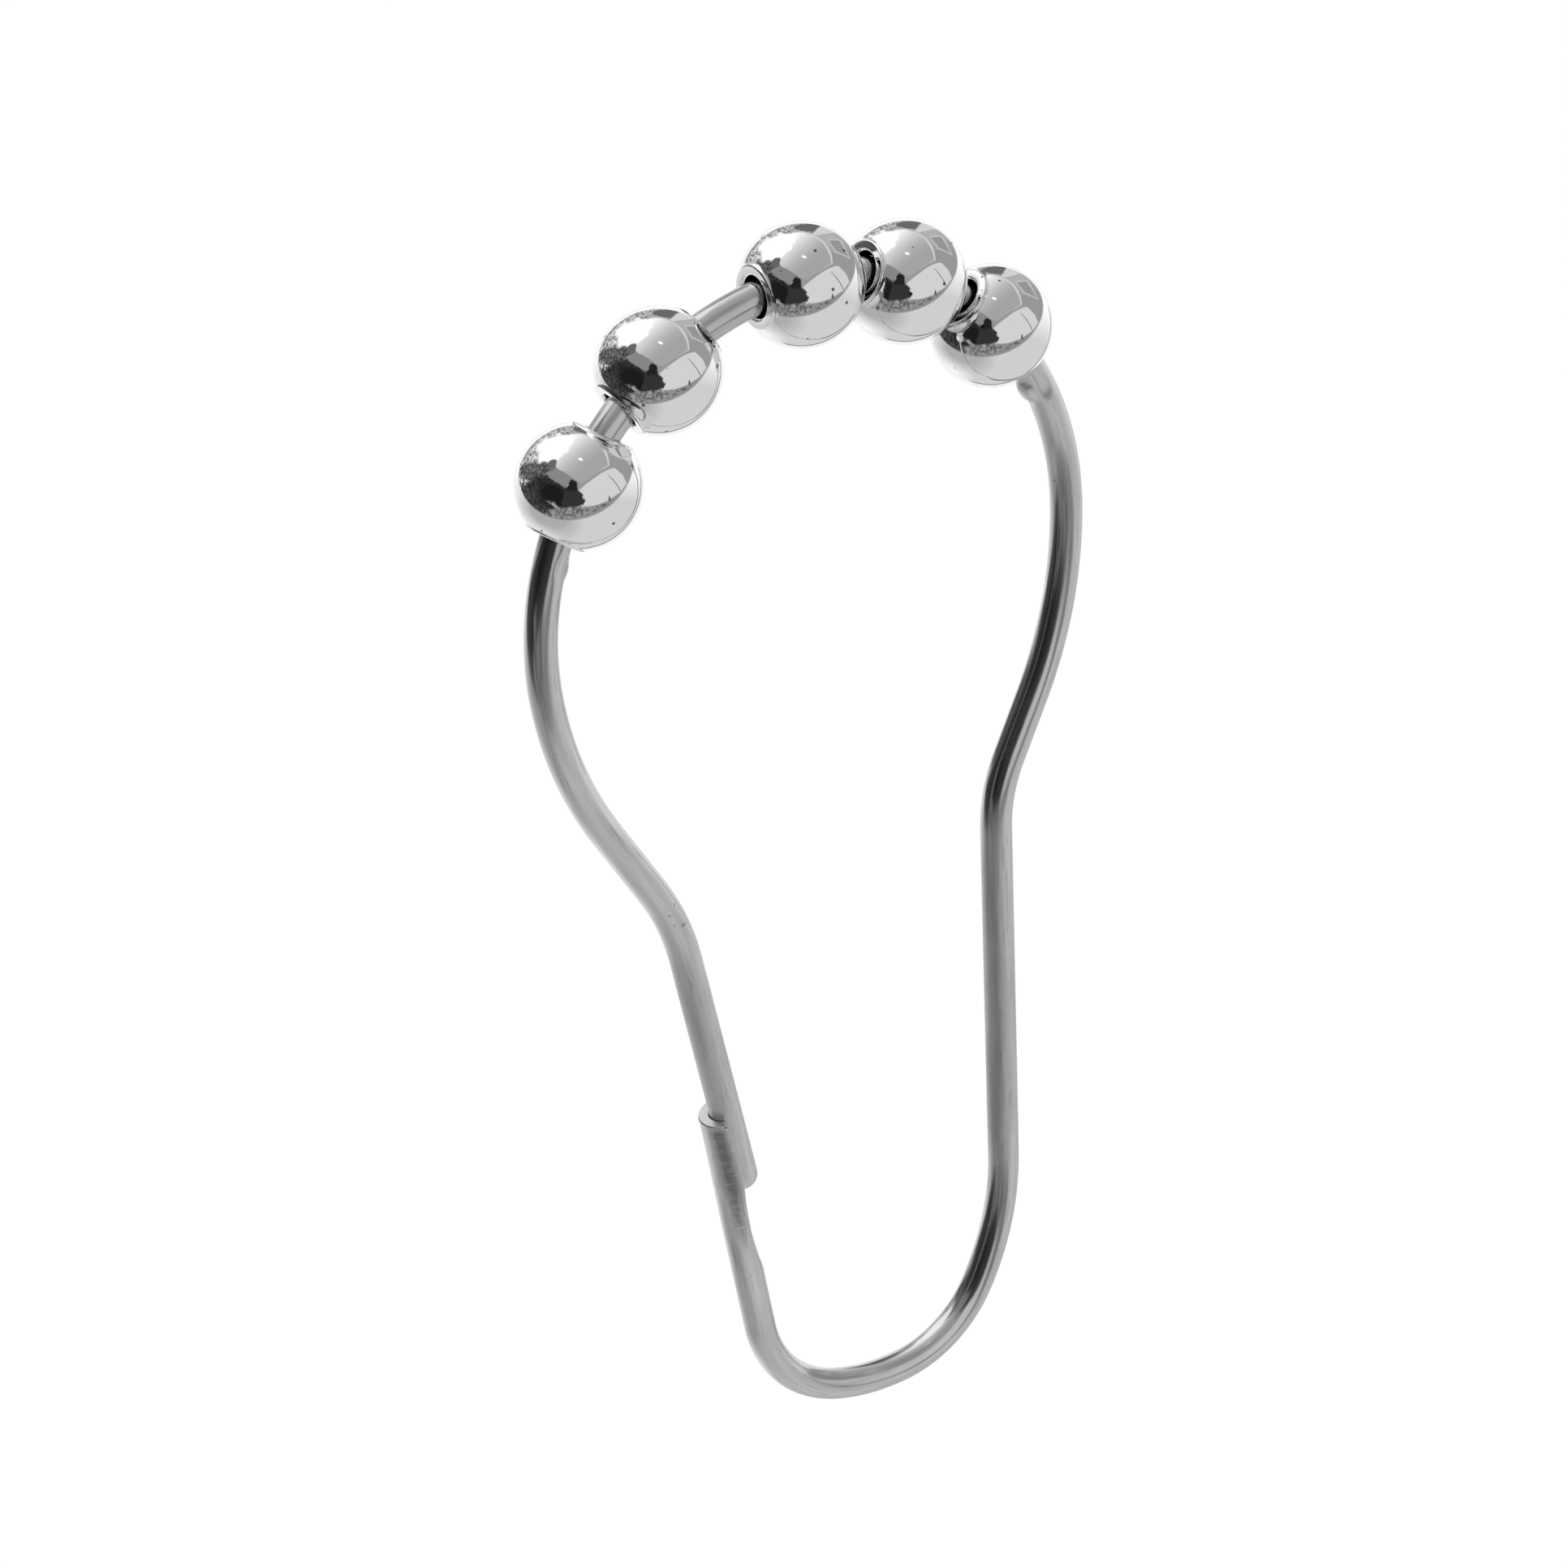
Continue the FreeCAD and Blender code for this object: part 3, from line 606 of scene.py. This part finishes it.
# Roller balls: five pressed steel balls, pierced through and chrome-plated. Each end is
# rolled to a small collar round the bore, and the wire runs through them all.
BALL_RADIUS = 3.7
BORE_RADIUS = 1.25
BORE_POINTS = 8
BORE_SHARE = 0.95
COLLAR_RADIUS = 1.95
COLLAR_CLEAR = 0.01
MOUTH_ROUND = 0.2
COLLAR_ROUND = 0.15
ROUND_POINTS = 7
BALL_SEGMENTS = 144
CROWN_POINTS = 56
CROWN_GAP = 0.6
BALL_SHARP_ANGLE = 50


def corner_round(x, y, out_x, out_y, radius):
    """Quarter round at a corner, between its two faces; the out signs point off the metal."""
    centre_x, centre_y = x - out_x * radius, y - out_y * radius
    return [(centre_x + out_x * radius * along(a)[1], centre_y + out_y * radius * along(a)[0])
            for a in np.linspace(0, 90, ROUND_POINTS)]


half_ball = BALL_LENGTH / 2
bore = [(share * (half_ball - MOUTH_ROUND), BORE_RADIUS)
        for share in np.linspace(0, BORE_SHARE, BORE_POINTS)]
collar = [spot for spot in corner_round(half_ball, COLLAR_RADIUS, 1, 1, COLLAR_ROUND)[::-1]
          if math.hypot(*spot) > BALL_RADIUS + COLLAR_CLEAR]
right_end = bore + corner_round(half_ball, BORE_RADIUS, 1, -1, MOUTH_ROUND) + collar
crown_start = math.degrees(math.atan2(collar[-1][1], collar[-1][0])) + CROWN_GAP
crown = [tuple(BALL_RADIUS * along(a)) for a in
         np.linspace(crown_start, 180 - crown_start, CROWN_POINTS)]
left_end = [(-x, r) for x, r in reversed(right_end[1:])]
outline = right_end + crown + left_end


def turned(name, centre, axis):
    """The ball's outline turned about its bore."""
    axis = np.array(axis) / np.linalg.norm(axis)
    first = np.array([0.0, 1.0, 0.0])
    second = np.cross(axis, first)
    points = []
    for x, radius in outline:
        for segment in range(BALL_SEGMENTS):
            cosine, sine = along(360 * segment / BALL_SEGMENTS)
            spoke = radius * (cosine * first + sine * second)
            points.append(np.array(centre) / MM + x * axis + spoke)
    faces = []
    for row in range(len(outline)):
        here, below = row * BALL_SEGMENTS, (row + 1) % len(outline) * BALL_SEGMENTS
        for column in range(BALL_SEGMENTS):
            beside = (column + 1) % BALL_SEGMENTS
            faces.append((here + column, below + column, below + beside, here + beside))
    return new_piece(name, points, faces, BALL_SHARP_ANGLE)


balls = []
for name in ball_names:
    ball = turned(f"roller_{name}", joints[name]["pos_m"], joints[name]["axis"])
    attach(ball, name)
    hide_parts(name)
    balls.append(ball)

# Ball chrome: bright plating that is slightly wavy, with a few pinholes and soft marks.
BALL_GREY = 0.90
WAVE_SCALE, WAVE_DETAIL = 520.0, 2.0
WAVE_STRENGTH, WAVE_HEIGHT = 0.35, 0.00001
GRAIN_SCALE, GRAIN_DETAIL = 3800.0, 3.0
GRAIN_STRENGTH, GRAIN_HEIGHT = 0.3, 0.0000012
GRAIN_SPREAD = (0.35, 0.75)
BALL_ROUGHNESS = (0.010, 0.035)
PINHOLE_SCALE = 900.0
PINHOLE_LIMIT = 0.5
PINHOLE_EDGE = (0.11, 0.07)
PINHOLE_GREY = 0.12

ball_metal, tree, shader = new_metal("ball_chrome")
where = add_node(tree, "ShaderNodeTexCoord").outputs["Object"]
waves = add_node(tree, "ShaderNodeTexNoise", Vector=where, Scale=WAVE_SCALE,
                 Detail=WAVE_DETAIL).outputs["Fac"]
grain = add_node(tree, "ShaderNodeTexNoise", Vector=where, Scale=GRAIN_SCALE,
                 Detail=GRAIN_DETAIL).outputs["Fac"]
cells = add_node(tree, "ShaderNodeTexVoronoi", Vector=where, Scale=PINHOLE_SCALE)
drawn_lot = add_node(tree, "ShaderNodeSeparateColor", Color=cells.outputs["Color"]).outputs[0]
few = math_node("GREATER_THAN", drawn_lot, PINHOLE_LIMIT)
pinhole = math_node("MULTIPLY", few, ramp(cells.outputs["Distance"], *PINHOLE_EDGE))
plated = ramp(pinhole, 0.0, 1.0, BALL_GREY, PINHOLE_GREY)
tree.links.new(plated, shader.inputs["Base Color"])
tree.links.new(ramp(grain, *GRAIN_SPREAD, *BALL_ROUGHNESS), shader.inputs["Roughness"])
wavy = add_node(tree, "ShaderNodeBump", Strength=WAVE_STRENGTH, Distance=WAVE_HEIGHT,
                Height=waves)
grainy = add_node(tree, "ShaderNodeBump", Strength=GRAIN_STRENGTH, Distance=GRAIN_HEIGHT,
                  Height=grain, Normal=wavy.outputs[0])
tree.links.new(grainy.outputs[0], shader.inputs["Normal"])
for ball in balls:
    ball.data.materials.append(ball_metal)

# Camera: a long lens, close above and to the left of the hook, a little rolled.
AZIMUTH = -31.131
ELEVATION = 27.890
ROLL = -5.966
DISTANCE = 283.34
TARGET = (-3.403, 0.0, -12.372)
LENS = 108.49
SENSOR = 36.0
CLIP = (0.01, 20.0)

level, raised = along(AZIMUTH), along(ELEVATION)
back = np.array([level[1] * raised[0], -level[0] * raised[0], raised[1]])
right = np.cross(-back, [0, 0, 1])
right /= np.linalg.norm(right)
up = np.cross(right, -back)
cosine, sine = along(ROLL)
picture_right = right * cosine + up * sine
picture_up = -right * sine + up * cosine

camera_data = bpy.data.cameras.new("camera")
camera_data.lens = LENS
camera_data.sensor_width = SENSOR
camera_data.clip_start, camera_data.clip_end = CLIP
camera = bpy.data.objects.new("camera", camera_data)
scene.collection.objects.link(camera)
place = (np.array(TARGET) + DISTANCE * back) * MM
matrix = [[picture_right[i], picture_up[i], back[i], place[i]] for i in range(3)]
camera.matrix_world = Matrix(matrix + [[0, 0, 0, 1]])
scene.camera = camera

# Surroundings: soft boxes and cards round the hook, as its polished metal mirrors them.
# They are laid out on a mirror ball's face, u to the right and w up, each -1 to 1. A shade
# is what the ball shows of a card, from 0 for black to 255 for white.
LOW_SPREAD = 0.11
SPECKLE_SCALE, SPECKLE_DETAIL, SPECKLE_ROUGHNESS = 21.0, 4.0, 0.7
SPECKLE_GAIN, SPECKLE_START = 5.0, -2.05
ROUGH_EDGE = (9.0, 4.0, 0.65, 0.16)
FRAYED_EDGE = (24.0, 3.0, 0.5, 0.07)
CRISP, CLEAN, FUZZY, LOOSE = 0.008, 0.012, 0.02, 0.05

world = bpy.data.worlds.new("surroundings")
scene.world = world
world.use_nodes = True
tree = world.node_tree


class Level:
    """A number that varies over the surroundings, worked out by Math nodes."""

    def __init__(self, socket):
        self.socket = socket

    @classmethod
    def of(cls, number):
        node = add_node(tree, "ShaderNodeValue")
        node.outputs[0].default_value = number
        return cls(node.outputs[0])

    def by(self, operation, *others, clamp=False):
        """The number after a Math node that takes it first."""
        values = [item.socket if isinstance(item, Level) else item for item in (self, *others)]
        return Level(math_node(operation, *values, clamp=clamp))

    def __add__(self, other):
        return self.by("ADD", other)

    def __mul__(self, other):
        return self.by("MULTIPLY", other)

    def scaled(self, factor, plus, clamp=False):
        return self.by("MULTIPLY_ADD", factor, plus, clamp=clamp)

    def power(self, exponent):
        return self.by("POWER", exponent)

    def below(self, edge, soft):
        """1 where the number is below the edge, 0 above it, with a soft change."""
        return self.scaled(-1 / soft, edge / soft + 0.5, clamp=True)


seen = add_node(tree, "ShaderNodeTexCoord").outputs["Generated"]
facing = vector_node("NORMALIZE", vector_node("ADD", seen, back)[0])[0]
u = Level(vector_node("DOT_PRODUCT", facing, picture_right)["Value"])
w = Level(vector_node("DOT_PRODUCT", facing, picture_up)["Value"])
rim = (u * u + w * w).power(0.5)
# Below the middle the cards are laid a little further out.
w = w + w.by("MINIMUM", 0.0).scaled(-LOW_SPREAD, 0.0)

speckle = Level(add_node(tree, "ShaderNodeTexNoise", Vector=facing, Scale=SPECKLE_SCALE,
                         Detail=SPECKLE_DETAIL, Roughness=SPECKLE_ROUGHNESS).outputs["Fac"])
specks = speckle.scaled(SPECKLE_GAIN, SPECKLE_START, clamp=True)


def torn(scale, detail, roughness, reach):
    """Places on the face, shifted about by noise, for a card with a torn edge."""
    noise = add_node(tree, "ShaderNodeTexNoise", Vector=facing, Scale=scale, Detail=detail,
                     Roughness=roughness).outputs["Color"]
    shifts = add_node(tree, "ShaderNodeSeparateColor", Color=noise).outputs
    return [axis + Level(shift).scaled(reach, -reach / 2) for axis, shift in zip((u, w), shifts)]


rough, frayed = torn(*ROUGH_EDGE), torn(*FRAYED_EDGE)


def card(corners, soft=CLEAN, at=None):
    """1 inside a convex outline of corners given clockwise, 0 outside."""
    first, second = at or (u, w)
    mask = None
    for (x0, y0), (x1, y1) in zip(corners, corners[1:] + corners[:1]):
        length = math.hypot(x1 - x0, y1 - y0) * soft
        across, down_by = (y1 - y0) / length, (x0 - x1) / length
        offset = 0.5 - across * x0 - down_by * y0
        side = second.scaled(down_by, first.scaled(across, offset), clamp=True)
        mask = side if mask is None else mask * side
    return mask


def oval(centre, radii, turn, soft, at=None):
    """1 inside an oval, 0 outside; its first radius lies along the turn."""
    first, second = at or (u, w)
    cosine, sine = along(turn)
    x, y = centre
    long_way = second.scaled(sine / radii[0], first.scaled(
        cosine / radii[0], -(x * cosine + y * sine) / radii[0]))
    short_way = second.scaled(cosine / radii[1], first.scaled(
        -sine / radii[1], (x * sine - y * cosine) / radii[1]))
    spread = (long_way * long_way + short_way * short_way).power(0.5)
    return spread.below(1.0, soft / min(radii))


def light(shade):
    """Brightness that a ball shows as this shade of grey."""
    return ((shade / 255 + 0.055) / 1.055) ** 2.4 / BALL_GREY


def between(level, at_zero, at_one):
    """Brightness that goes from one shade to another with a level."""
    return level.scaled(light(at_one) - light(at_zero), light(at_zero))


def paint(under, shade, mask):
    """Lays a card of one shade, or of a varying brightness, over what is under it."""
    over = shade if isinstance(shade, Level) else light(shade)
    rest = under.by("SUBTRACT", over)
    return rest.by("MULTIPLY_ADD", mask.scaled(-1.0, 1.0), over)


# A pale sheet lies all round, white towards the top and burnt out at the lower left. It has
# one soft shadow.
picture = between(w.below(0.05, 0.5), 253, 206)
picture = paint(picture, 251, oval((-0.95, -0.55), (0.60, 0.36), -40, 0.30))
picture = paint(picture, 172, oval((-0.46, -0.38), (0.44, 0.22), -24, 0.16))

# A bright seam runs round its rim, with a thin dark line inside it on the near side.
SEAM_FROM, SEAM_SOFT = 0.962, 0.02
LINE_AT, LINE_HALF, LINE_SOFT = 0.955, 0.005, 0.006
NEAR_SIDE = [(-0.3, -0.5), (0.5, 0.3), (1.2, 0.5), (1.2, -1.2), (-0.3, -1.2)]
picture = paint(picture, 240, rim.below(SEAM_FROM, SEAM_SOFT).scaled(-1.0, 1.0))
dark_line = rim.by("SUBTRACT", LINE_AT).by("ABSOLUTE").below(LINE_HALF, LINE_SOFT)
picture = paint(picture, 120, dark_line * card(NEAR_SIDE, 0.1))

# Above the sheet stands a grey tent; it is darker at its foot and paler at its head, with
# a pale frame at its right and two flaps at its top.
FRAME = [(0.375, 0.685), (0.565, 0.715), (0.735, 0.415), (0.495, 0.485)]
PANE = [(0.4, 0.66), (0.545, 0.69), (0.705, 0.445), (0.515, 0.505)]
HEAD_FLAP = [(0.28, 0.92), (0.4, 0.9), (0.51, 0.82), (0.38, 0.78), (0.26, 0.72), (0.16, 0.75)]
DARK_FLAP = [(-0.1, 0.89), (0.08, 0.925), (0.28, 0.92), (0.16, 0.75), (0.03, 0.79), (-0.09, 0.8)]
tent = oval((-0.045, 0.225), (0.86, 0.695), 12, 0.014)
inside = between(w.below(-0.1, 0.14), 151, 142)
inside = paint(inside, 176, oval((0.24, 0.80), (0.42, 0.22), -28, 0.14))
for shade, corners in ((192, FRAME), (149, PANE), (209, HEAD_FLAP)):
    inside = paint(inside, shade, card(corners, CRISP))
inside = paint(inside, between(specks, 105, 235),
               oval((-0.34, 0.785), (0.30, 0.075), 22, 0.04, rough))
inside = paint(inside, 104, card(DARK_FLAP, FUZZY, frayed))

# A large soft panel hangs in the tent. It is burnt out at the left and falls off to the
# right, with a bright edge and one small lamp in front of it.
FALL_RIGHT, FALL_UP, FALL_START = -1.30, 1.40, -0.135
PANEL_EDGE = [(-0.13, 0.785), (0.03, 0.79), (0.21, 0.725), (0.33, 0.64), (0.41, 0.535),
              (0.455, 0.43), (0.475, 0.3), (0.07, 0.03), (-0.33, 0.33)]
PANEL = [(-0.23, 0.72), (-0.12, 0.765), (0.03, 0.77), (0.2, 0.7), (0.31, 0.62), (0.38, 0.52),
         (0.43, 0.42), (0.455, 0.3), (0.08, 0.022), (-0.03, 0.06), (-0.32, 0.25), (-0.36, 0.47)]
BURNT_OUT, LAMP_BRIGHTNESS = 1.25, 1.6
fall = w.scaled(FALL_UP, u.scaled(FALL_RIGHT, FALL_START), clamp=True)
inside = paint(inside, 207, card(PANEL_EDGE, CRISP))
inside = paint(inside, between(fall.power(2.0), 163, 252), card(PANEL))
inside = paint(inside, Level.of(BURNT_OUT), oval((-0.43, 0.53), (0.36, 0.185), 27, 0.05, rough))
inside = paint(inside, Level.of(LAMP_BRIGHTNESS), oval((0.04, 0.384), (0.034, 0.016), -24, 0.008))

# To the left stands a dark screen with ragged edges, speckled along its outer edge, and two
# mid-grey flaps hang over it.
SMALL_FLAP = [(-0.45, 0.33), (-0.39, 0.385), (-0.31, 0.385), (-0.33, 0.27), (-0.46, 0.24)]
SCREEN = [(-0.93, -0.019), (-0.74, 0.09), (-0.56, 0.19), (-0.46, 0.18), (-0.32, 0.06),
          (-0.13, -0.052), (-0.13, -0.297), (-0.32, -0.419), (-0.48, -0.411), (-0.7, -0.305),
          (-0.87, -0.174)]
FLAP = [(-0.47, 0.19), (-0.34, 0.245), (-0.23, 0.205), (-0.02, 0.06), (-0.1, 0.022),
        (-0.155, -0.064), (-0.42, 0.105)]
inside = paint(inside, between(specks, 40, 235),
               oval((-0.80, 0.22), (0.40, 0.14), 66, 0.06, rough))
inside = paint(inside, between(specks, 58, 120),
               oval((-0.60, 0.21), (0.30, 0.155), -10, 0.05, rough))
inside = paint(inside, 100, card(SMALL_FLAP, FUZZY, frayed))
inside = paint(inside, between(specks, 38, 84), card(SCREEN, LOOSE, rough))
inside = paint(inside, 28, oval((-0.36, -0.15), (0.33, 0.19), -35, 0.16, rough))
inside = paint(inside, between(specks, 60, 190),
               oval((-0.36, -0.27), (0.10, 0.022), -32, 0.03, rough))
inside = paint(inside, 134, card(FLAP))

# To the right stands a pale soft box with a thin bar across it. A dark frayed strip runs
# along its foot, and a dark stand leans against its left side.
SOFT_BOX = [(0.02, -0.011), (0.08, 0.04), (0.37, 0.19), (0.46, 0.26), (0.56, 0.27),
            (0.68, 0.17), (0.74, 0.05), (0.66, -0.076), (0.48, -0.207), (0.28, -0.28),
            (0.08, -0.305), (0.01, -0.215)]
BAR = (
    [(0.45, 0.165), (0.462, 0.165), (0.542, 0.09), (0.528, 0.085)],
    [(0.528, 0.085), (0.542, 0.09), (0.622, -0.011), (0.608, -0.015)],
    [(0.608, -0.015), (0.622, -0.011), (0.66, -0.072), (0.644, -0.076)],
)
STRIP_LEFT = [(-0.45, -0.329), (-0.13, -0.288), (0.17, -0.313), (0.17, -0.395),
              (-0.17, -0.48), (-0.41, -0.435)]
STRIP_RIGHT = [(0.12, -0.305), (0.33, -0.272), (0.47, -0.199), (0.515, -0.215),
               (0.42, -0.288), (0.25, -0.37), (0.12, -0.403)]
STRIP_TAB = [(0.468, -0.207), (0.478, -0.15), (0.496, -0.15), (0.51, -0.223)]
STAND_FOOT = [(-0.19, -0.052), (0, -0.068), (0.065, -0.125), (0.115, -0.207), (0.1, -0.264),
              (0.01, -0.297), (-0.26, -0.313)]
STAND = [(-0.13, 0.03), (-0.09, 0.065), (-0.04, 0.065), (-0.01, 0.04), (0.005, -0.084),
         (-0.17, -0.092)]
inside = paint(inside, 209, card(SOFT_BOX))
for corners in BAR:
    inside = paint(inside, 118, card(corners, CRISP))
strip = between(specks, 84, 158)
inside = paint(inside, strip, card(STRIP_LEFT, 0.03, frayed))
inside = paint(inside, strip, card(STRIP_RIGHT, FUZZY, frayed))
inside = paint(inside, 84, card(STRIP_TAB))
inside = paint(inside, 50, card(STAND_FOOT, FUZZY, frayed))
inside = paint(inside, 34, card(STAND, FUZZY, frayed))
picture = paint(picture, inside, tent)

# Only mirrored rays see the cards: the camera sees white, and matt things even light.
EVEN_LIGHT = 0.6
rays = add_node(tree, "ShaderNodeLightPath").outputs
plain = Level(rays["Is Camera Ray"]).scaled(1.0 - EVEN_LIGHT, EVEN_LIGHT)
even = tree.nodes["Background"]
tree.links.new(plain.socket, even.inputs["Color"])
cards = add_node(tree, "ShaderNodeBackground", Color=picture.socket)
chosen = add_node(tree, "ShaderNodeMixShader")
tree.links.new(rays["Is Glossy Ray"], chosen.inputs[0])
tree.links.new(even.outputs[0], chosen.inputs[1])
tree.links.new(cards.outputs[0], chosen.inputs[2])
tree.links.new(chosen.outputs[0], tree.nodes["World Output"].inputs["Surface"])

# Floor: a plain white sheet well below the hung hook. It keeps the hook's faint shadow,
# and mirrored rays pass it, so that the metal shows the cards.
FLOOR_DEPTH = 95.0
FLOOR_WIDTH = 4.0
PAPER_GREY = 0.85
GLOW_STRENGTH = 1.08
GLOW_SHARE = 0.85
bpy.ops.mesh.primitive_plane_add(size=FLOOR_WIDTH, location=(0, 0, -FLOOR_DEPTH * MM))
floor = bpy.context.object
floor.name = "floor"
floor.visible_glossy = False
paper = bpy.data.materials.new("paper")
paper.use_nodes = True
tree = paper.node_tree
tree.nodes.remove(tree.nodes["Principled BSDF"])
matt = add_node(tree, "ShaderNodeBsdfDiffuse", Color=(PAPER_GREY, PAPER_GREY, PAPER_GREY, 1))
glow = add_node(tree, "ShaderNodeEmission", Color=(1, 1, 1, 1), Strength=GLOW_STRENGTH)
rays = add_node(tree, "ShaderNodeLightPath").outputs
blend = add_node(tree, "ShaderNodeMixShader")
tree.links.new(math_node("MULTIPLY", rays["Is Camera Ray"], GLOW_SHARE), blend.inputs[0])
tree.links.new(matt.outputs[0], blend.inputs[1])
tree.links.new(glow.outputs[0], blend.inputs[2])
tree.links.new(blend.outputs[0], tree.nodes["Material Output"].inputs["Surface"])
floor.data.materials.append(paper)

# Lamp: one large soft box above and to the left.
LAMP_WIDTH = 0.5
LAMP_POWER = 2.2
LAMP_PLACE = (-0.35, -0.25, 0.55)
lamp_data = bpy.data.lights.new("soft_box", "AREA")
lamp_data.size = LAMP_WIDTH
lamp_data.energy = LAMP_POWER
lamp = bpy.data.objects.new("soft_box", lamp_data)
scene.collection.objects.link(lamp)
lamp.location = LAMP_PLACE
lamp.rotation_mode = "QUATERNION"
lamp.rotation_quaternion = (-lamp.location).to_track_quat("-Z", "Y")
lamp.visible_glossy = False

scene.view_settings.view_transform = "Standard"
